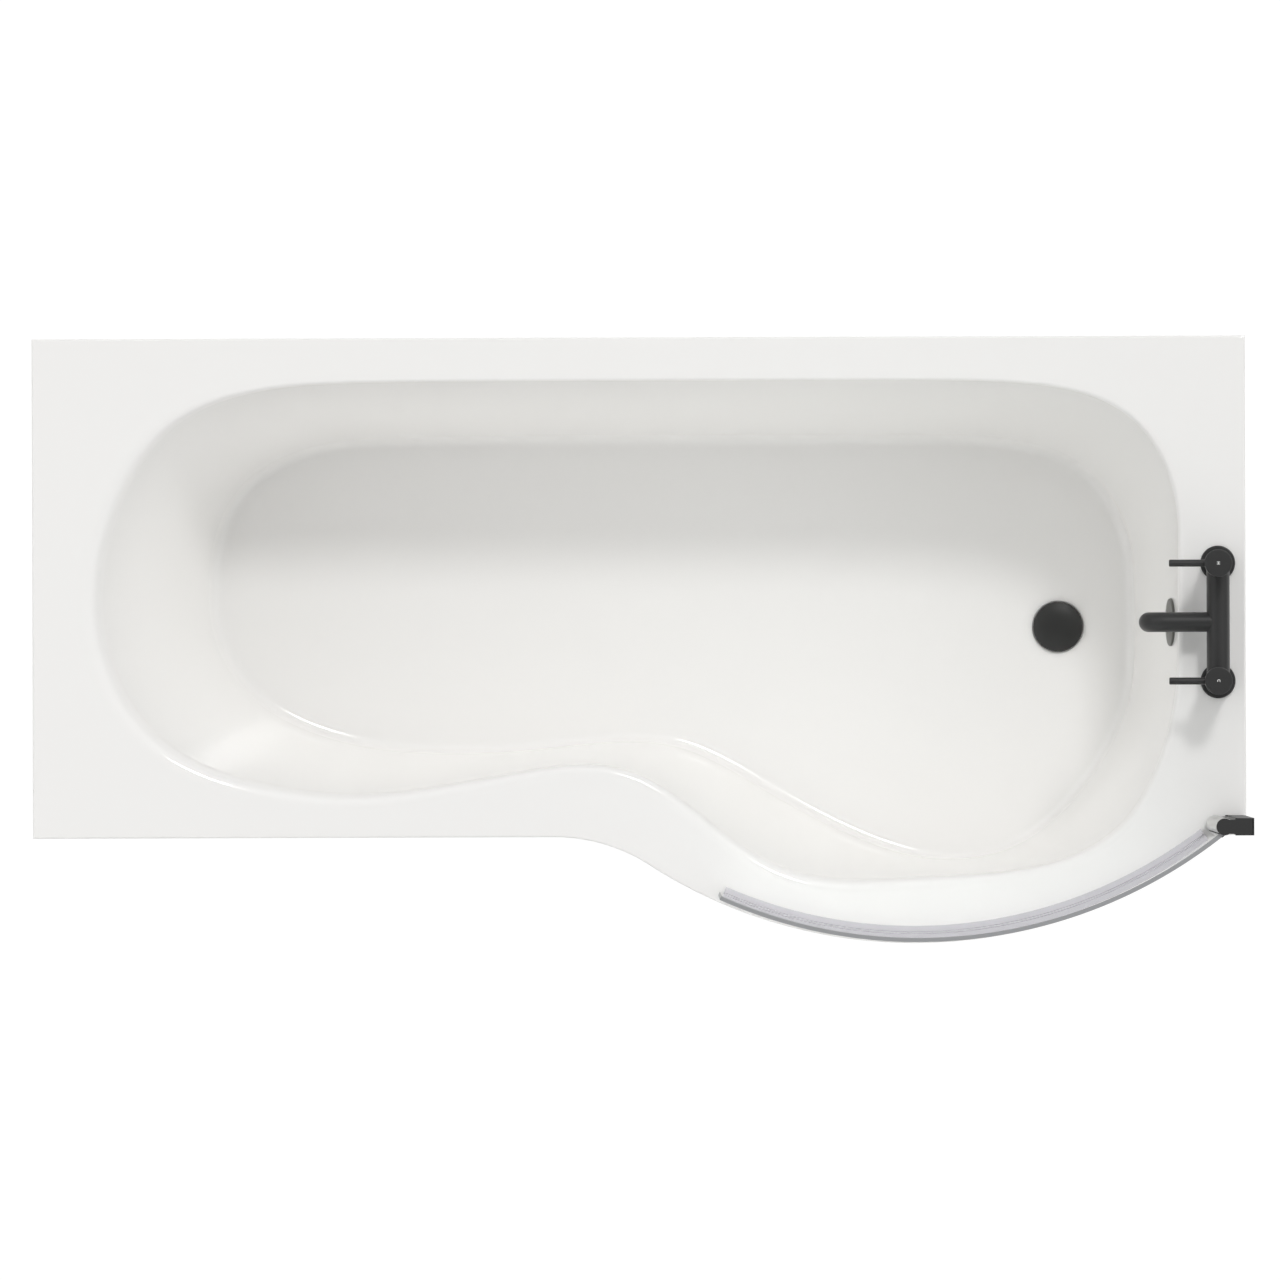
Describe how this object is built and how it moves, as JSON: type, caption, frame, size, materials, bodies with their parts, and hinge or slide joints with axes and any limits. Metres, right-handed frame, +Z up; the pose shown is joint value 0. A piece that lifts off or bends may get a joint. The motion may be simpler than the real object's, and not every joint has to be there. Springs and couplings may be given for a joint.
{
  "type": "p shaped shower bath",
  "caption": "P shaped shower bath with a rounded standing area, a curved glass screen that swings on its pivot, levelling feet, front panel, pop-up waste and a deck mounted bath filler.",
  "frame": {"origin": "on the floor, under the middle of the rim's 1700 x 850 mm plan", "axes": "+Z up, +X towards the tap end, +Y towards the long wall side"},
  "size_m": [1.7, 0.85, 1.9606],
  "materials": {
    "white_acrylic": "gloss sanitary acrylic",
    "board": "raw chipboard",
    "timber": "sawn softwood",
    "zinc_steel": "zinc plated",
    "black_metal": "matt black powder coat",
    "grey_metal": "satin grey",
    "brass": "turned",
    "grey_steel": "bright plated",
    "black_rubber": "moulded",
    "white_plastic": "moulded polypropylene",
    "hose_plastic": "ribbed polythene",
    "pad_plastic": "moulded nylon",
    "pale_aluminium": "satin anodised",
    "clear_glass": "toughened, polished edges",
    "clear_seal": "soft clear extrusion",
    "white_mark": "printed"
  },
  "bodies": {
    "root": {"bath_shell": "white_acrylic", "base_board": "board", "rim_batten_wall": "timber", "rim_batten_front": "timber", "cradle_rail_foot_end": "zinc_steel", "cradle_rail_tap_end": "zinc_steel", "centre_leg_bracket": "zinc_steel", "rail_screws": "zinc_steel", "lock_nuts": "zinc_steel", "wall_brackets": "zinc_steel", "front_panel": "white_acrylic", "panel_floor_batten": "timber", "panel_screws": "zinc_steel", "waste_flange": "black_metal", "waste_seal_upper": "black_rubber", "waste_seal_lower": "black_rubber", "waste_body": "white_plastic", "overflow_rosette": "grey_metal", "overflow_seal": "black_rubber", "overflow_elbow": "white_plastic", "overflow_hose": "hose_plastic", "hose_nuts": "white_plastic", "trap_body": "white_plastic", "trap_nut": "white_plastic", "tap_body": "black_metal", "tap_spout": "black_metal", "spout_aerator": "grey_steel", "tap_flanges": "black_metal", "tap_washers": "black_rubber", "tap_tails": "brass", "tap_backnuts": "brass", "valve_cartridges": "brass", "wall_channel": "black_metal", "adjust_profile": "black_metal", "pivot_cap_top": "black_metal", "pivot_cap_bottom": "black_metal"},
    "screen": {"pivot_tube": "pale_aluminium", "glass_panel": "clear_glass", "glass_gasket": "black_rubber", "bottom_seal": "clear_seal"},
    "hot_handle": {"hot_spindle": "brass", "hot_cap": "black_metal", "hot_lever": "black_metal", "hot_index": "white_mark"},
    "cold_handle": {"cold_spindle": "brass", "cold_cap": "black_metal", "cold_lever": "black_metal", "cold_index": "white_mark"},
    "plug": {"waste_plug": "black_metal"},
    "foot_1": {"levelling_stud_1": "zinc_steel", "foot_pad_1": "pad_plastic"},
    "foot_2": {"levelling_stud_2": "zinc_steel", "foot_pad_2": "pad_plastic"},
    "foot_3": {"levelling_stud_3": "zinc_steel", "foot_pad_3": "pad_plastic"},
    "foot_4": {"levelling_stud_4": "zinc_steel", "foot_pad_4": "pad_plastic"},
    "foot_5": {"levelling_stud_5": "zinc_steel", "foot_pad_5": "pad_plastic"}
  },
  "joints": [
    {"name": "screen_swing", "type": "hinge", "parent": "root", "child": "screen", "pos_m": [0.806, -0.25903, 0.55], "axis": [0, 0, 1], "range_deg": [-75, 60]},
    {"name": "hot_lever_turn", "type": "hinge", "parent": "root", "child": "hot_handle", "pos_m": [0.811, 0.106, 0.65], "axis": [0, 0, 1], "range_deg": [-90, 0]},
    {"name": "cold_lever_turn", "type": "hinge", "parent": "root", "child": "cold_handle", "pos_m": [0.811, -0.059, 0.65], "axis": [0, 0, 1], "range_deg": [0, 90]},
    {"name": "plug_click", "type": "slide", "parent": "root", "child": "plug", "axis": [0, 0, 1], "range_m": [0, 0.008]},
    {"name": "foot_1_wind", "type": "slide", "parent": "root", "child": "foot_1", "axis": [0, 0, 1], "range_m": [-0.025, 0]},
    {"name": "foot_2_wind", "type": "slide", "parent": "root", "child": "foot_2", "axis": [0, 0, 1], "range_m": [-0.025, 0]},
    {"name": "foot_3_wind", "type": "slide", "parent": "root", "child": "foot_3", "axis": [0, 0, 1], "range_m": [-0.025, 0]},
    {"name": "foot_4_wind", "type": "slide", "parent": "root", "child": "foot_4", "axis": [0, 0, 1], "range_m": [-0.025, 0]},
    {"name": "foot_5_wind", "type": "slide", "parent": "root", "child": "foot_5", "axis": [0, 0, 1], "range_m": [-0.025, 0]}
  ]
}
